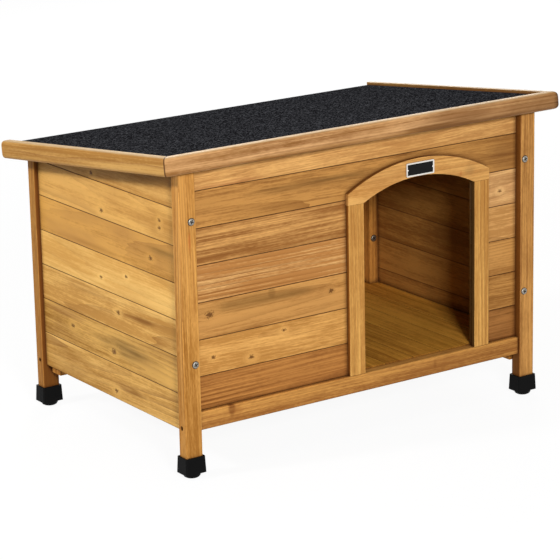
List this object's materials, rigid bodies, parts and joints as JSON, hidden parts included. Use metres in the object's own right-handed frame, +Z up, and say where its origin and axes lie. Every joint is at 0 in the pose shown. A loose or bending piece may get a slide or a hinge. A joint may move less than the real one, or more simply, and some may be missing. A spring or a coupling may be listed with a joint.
{
  "type": "dog house",
  "caption": "Raised wooden dog house of tongue-and-groove boards with a hinged sloping felt roof, an arched door right of the middle of its front, and levelling feet.",
  "frame": {"origin": "on the ground under the middle of the whole house, roof included", "axes": "+X to the right as seen from in front, +Y to the rear, +Z up; the door faces -Y"},
  "size_m": [0.85, 0.5663, 0.5767],
  "materials": {
    "honey_fir": "honey-coloured stain on planed fir, satin",
    "red_fir": "reddish honey stain on planed fir, satin",
    "pale_fir": "pale honey stain on planed fir, satin",
    "raw_fir": "thin brown stain on sawn fir, matt",
    "roof_felt": "bitumen roofing felt with fine mineral grit, matt",
    "black_plastic": "moulded, fine grain",
    "black_enamel": "black enamel with a bare silver border",
    "zinc_steel": "bright zinc plated"
  },
  "bodies": {
    "house": {"batten_front_left": "raw_fir", "batten_front_right": "raw_fir", "batten_rear_left": "raw_fir", "batten_rear_right": "raw_fir", "door_arch": "honey_fir", "door_jamb_left": "honey_fir", "door_jamb_right": "honey_fir", "floor": "raw_fir", "floor_cleat_front": "raw_fir", "floor_cleat_rear": "raw_fir", "foot_cap_front_left": "black_plastic", "foot_cap_front_right": "black_plastic", "foot_cap_rear_left": "black_plastic", "foot_cap_rear_right": "black_plastic", "front_board_1_left": "red_fir", "front_board_1_right": "red_fir", "front_board_2_left": "red_fir", "front_board_2_right": "red_fir", "front_board_3_left": "red_fir", "front_board_3_right": "red_fir", "front_board_4_left": "red_fir", "front_board_4_right": "red_fir", "front_board_5_left": "red_fir", "front_board_5_right": "red_fir", "front_board_6": "red_fir", "front_board_7": "red_fir", "front_rail": "red_fir", "hinge_left_wall_leaf": "zinc_steel", "hinge_right_wall_leaf": "zinc_steel", "left_board_1": "honey_fir", "left_board_2": "honey_fir", "left_board_3": "honey_fir", "left_board_4": "honey_fir", "left_board_5": "honey_fir", "left_board_6": "honey_fir", "left_board_7": "honey_fir", "name_plate": "black_enamel", "post_front_left": "honey_fir", "post_front_right": "honey_fir", "post_rear_left": "honey_fir", "post_rear_right": "honey_fir", "rear_rail": "red_fir", "rear_top_rail": "red_fir", "rear_wall": "red_fir", "right_wall": "honey_fir", "stay_bracket": "zinc_steel"},
    "roof": {"roof_deck": "raw_fir", "roof_felt": "roof_felt", "roof_trim_front": "pale_fir", "roof_trim_left": "pale_fir", "roof_trim_right": "pale_fir", "roof_batten": "raw_fir", "hinge_left_roof_leaf": "zinc_steel", "hinge_right_roof_leaf": "zinc_steel", "stay_track": "zinc_steel"},
    "stay": {"stay_arm": "zinc_steel"},
    "pad_front_left": {"foot_pad_front_left": "black_plastic"},
    "pad_front_right": {"foot_pad_front_right": "black_plastic"},
    "pad_rear_left": {"foot_pad_rear_left": "black_plastic"},
    "pad_rear_right": {"foot_pad_rear_right": "black_plastic"}
  },
  "joints": [
    {"name": "roof_hinge", "type": "hinge", "parent": "house", "child": "roof", "pos_m": [0, 0.26063, 0.49067], "axis": [-1, 0, 0], "range_deg": [0, 60]},
    {"name": "stay_pivot", "type": "hinge", "parent": "house", "child": "stay", "pos_m": [-0.3645, 0.06124, 0.50636], "axis": [-1, 0, 0], "range_deg": [0, 120]},
    {"name": "pad_front_left_height", "type": "slide", "parent": "house", "child": "pad_front_left", "axis": [0, 0, -1], "range_m": [0, 0.012]},
    {"name": "pad_front_right_height", "type": "slide", "parent": "house", "child": "pad_front_right", "axis": [0, 0, -1], "range_m": [0, 0.012]},
    {"name": "pad_rear_left_height", "type": "slide", "parent": "house", "child": "pad_rear_left", "axis": [0, 0, -1], "range_m": [0, 0.012]},
    {"name": "pad_rear_right_height", "type": "slide", "parent": "house", "child": "pad_rear_right", "axis": [0, 0, -1], "range_m": [0, 0.012]}
  ],
  "couplings": [
    {"joint": "stay_pivot", "follows": "roof_hinge", "ratio": 2}
  ]
}
